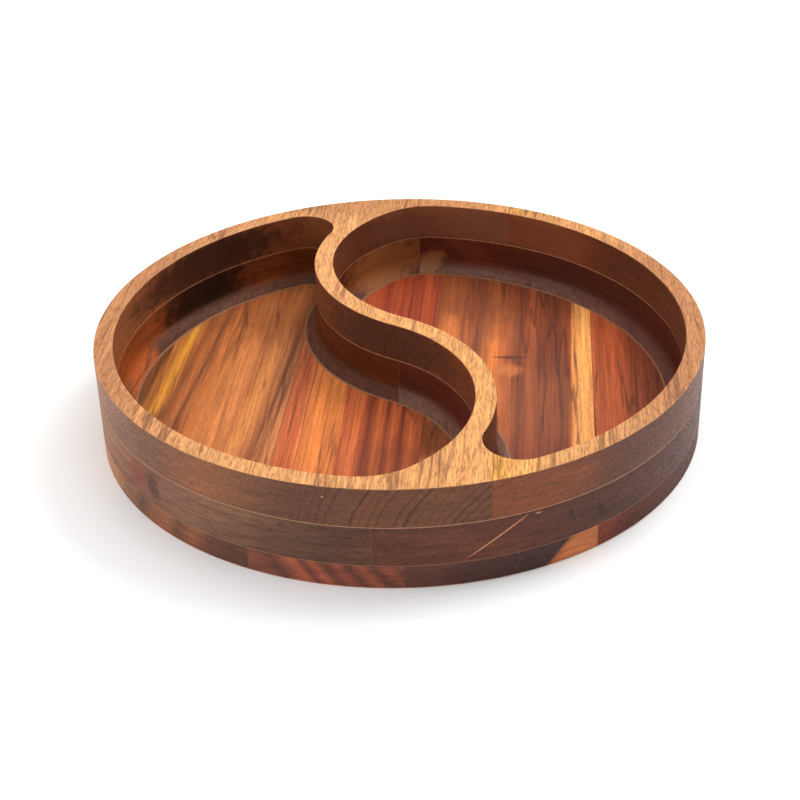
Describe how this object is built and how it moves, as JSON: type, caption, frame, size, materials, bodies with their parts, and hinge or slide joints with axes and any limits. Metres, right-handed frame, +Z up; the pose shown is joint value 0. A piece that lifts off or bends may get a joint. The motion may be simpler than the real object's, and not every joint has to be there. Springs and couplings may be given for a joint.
{
  "type": "chip and dip server",
  "caption": "Round wooden serving tray with a tall plain rim and an S-shaped divider that makes two comma-shaped compartments with coved floors.",
  "frame": {"origin": "centre of the underside, on the surface that the tray stands on", "axes": "+Z up, +Y along the grain of every board towards the back, +X to the right seen from the front"},
  "size_m": [0.305, 0.305, 0.0525],
  "materials": {
    "golden_acacia": "oiled, golden orange-brown heartwood with a yellow sapwood stripe and dark veins, satin",
    "red_acacia": "oiled, red-orange heartwood with straight dark red stripes, satin",
    "orange_acacia": "oiled, orange-brown heartwood with dark figure and a pale sapwood edge, satin",
    "russet_acacia": "oiled, dark reddish-brown heartwood, satin",
    "grey_brown_acacia": "oiled, grey-brown heartwood with dark growth lines, satin",
    "dark_acacia": "oiled, dark red-brown heartwood with black growth lines, satin",
    "pale_acacia": "oiled, light tan rim face with fine darker pores along the grain, brown on the walls, satin",
    "pale_golden_acacia": "oiled, light golden rim face with fine darker pores along the grain, brown on the walls, satin",
    "wood_glue": "cured wood glue, pale tan, sanded flush"
  },
  "bodies": {
    "root": {"base_board_left": "golden_acacia", "base_board_centre_left": "red_acacia", "base_board_centre_right": "orange_acacia", "base_board_right": "russet_acacia", "base_glue_left": "wood_glue", "base_glue_centre": "wood_glue", "base_glue_right": "wood_glue", "glue_base_to_middle": "wood_glue", "middle_board_left": "grey_brown_acacia", "middle_board_right": "dark_acacia", "middle_glue_front": "wood_glue", "middle_glue_divider": "wood_glue", "middle_glue_back": "wood_glue", "glue_middle_to_top": "wood_glue", "top_board_left": "pale_acacia", "top_board_right": "pale_golden_acacia", "top_glue_front": "wood_glue", "top_glue_back": "wood_glue"}
  },
  "joints": []
}
